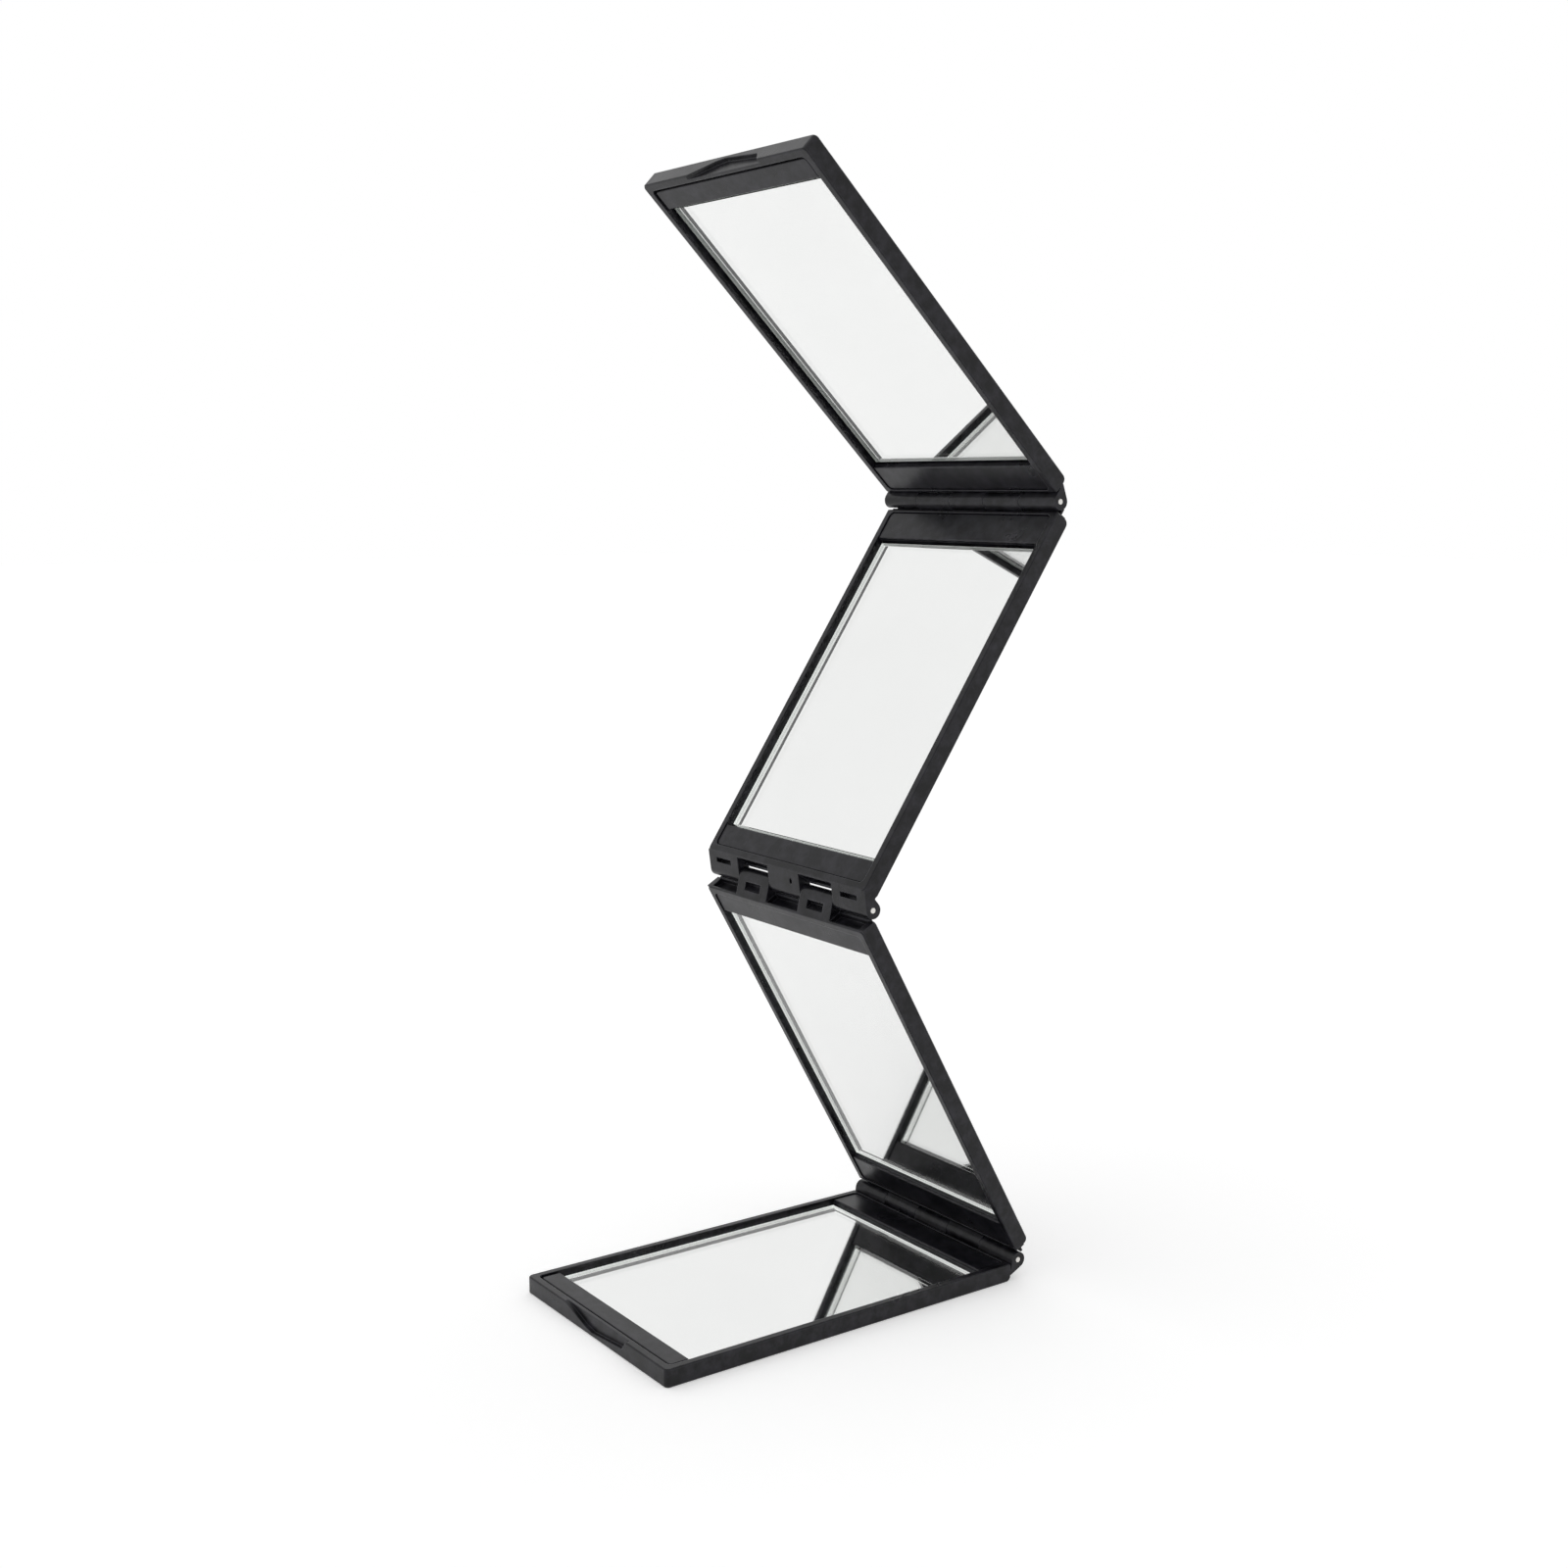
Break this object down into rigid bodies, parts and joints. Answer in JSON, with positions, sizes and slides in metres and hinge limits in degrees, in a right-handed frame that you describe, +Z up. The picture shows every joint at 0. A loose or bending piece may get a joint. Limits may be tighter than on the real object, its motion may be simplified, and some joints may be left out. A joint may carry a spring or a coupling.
{
  "type": "folding makeup mirror",
  "caption": "Pocket mirror of hinged flat panels in a zigzag strip, each with its own mirror; folds into a compact stack and stands on its base panel.",
  "frame": {"origin": "centre of the base panel's underside, which rests on the table", "axes": "+Z up; X along the three hinge axes; the base runs from its hinge at +Y to its free end at -Y, and the user looks from -Y"},
  "size_m": [0.0544, 0.0971, 0.2281],
  "materials": {
    "tray_plastic": "satin",
    "plate_plastic": "satin",
    "silvered_glass": "polished",
    "adhesive": "matte",
    "pin_steel": "satin"
  },
  "bodies": {
    "base_panel": {"base_tray": "tray_plastic", "base_mirror": "silvered_glass", "base_pad": "adhesive", "base_hinge_plate": "plate_plastic", "base_free_plate": "plate_plastic", "base_pin": "pin_steel"},
    "lower_panel": {"lower_tray": "tray_plastic", "lower_mirror": "silvered_glass", "lower_pad": "adhesive", "lower_hinge_plate": "plate_plastic", "lower_middle_plate": "plate_plastic"},
    "upper_panel": {"upper_tray": "tray_plastic", "upper_mirror": "silvered_glass", "upper_pad": "adhesive", "upper_hinge_plate": "plate_plastic", "upper_middle_plate": "plate_plastic", "middle_pin": "pin_steel"},
    "top_panel": {"top_tray": "tray_plastic", "top_mirror": "silvered_glass", "top_pad": "adhesive", "top_hinge_plate": "plate_plastic", "top_free_plate": "plate_plastic", "top_pin": "pin_steel"}
  },
  "joints": [
    {"name": "base_hinge", "type": "hinge", "parent": "base_panel", "child": "lower_panel", "pos_m": [0, 0.0455, 0.0043], "axis": [-1, 0, 0], "range_deg": [-60.4, 119.6]},
    {"name": "middle_hinge", "type": "hinge", "parent": "lower_panel", "child": "upper_panel", "pos_m": [0, 0.00479, 0.08589], "axis": [1, 0, 0], "range_deg": [-116.4, 63.6]},
    {"name": "top_hinge", "type": "hinge", "parent": "upper_panel", "child": "top_panel", "pos_m": [0, 0.05164, 0.16411], "axis": [-1, 0, 0], "range_deg": [-99.3, 80.7]}
  ]
}
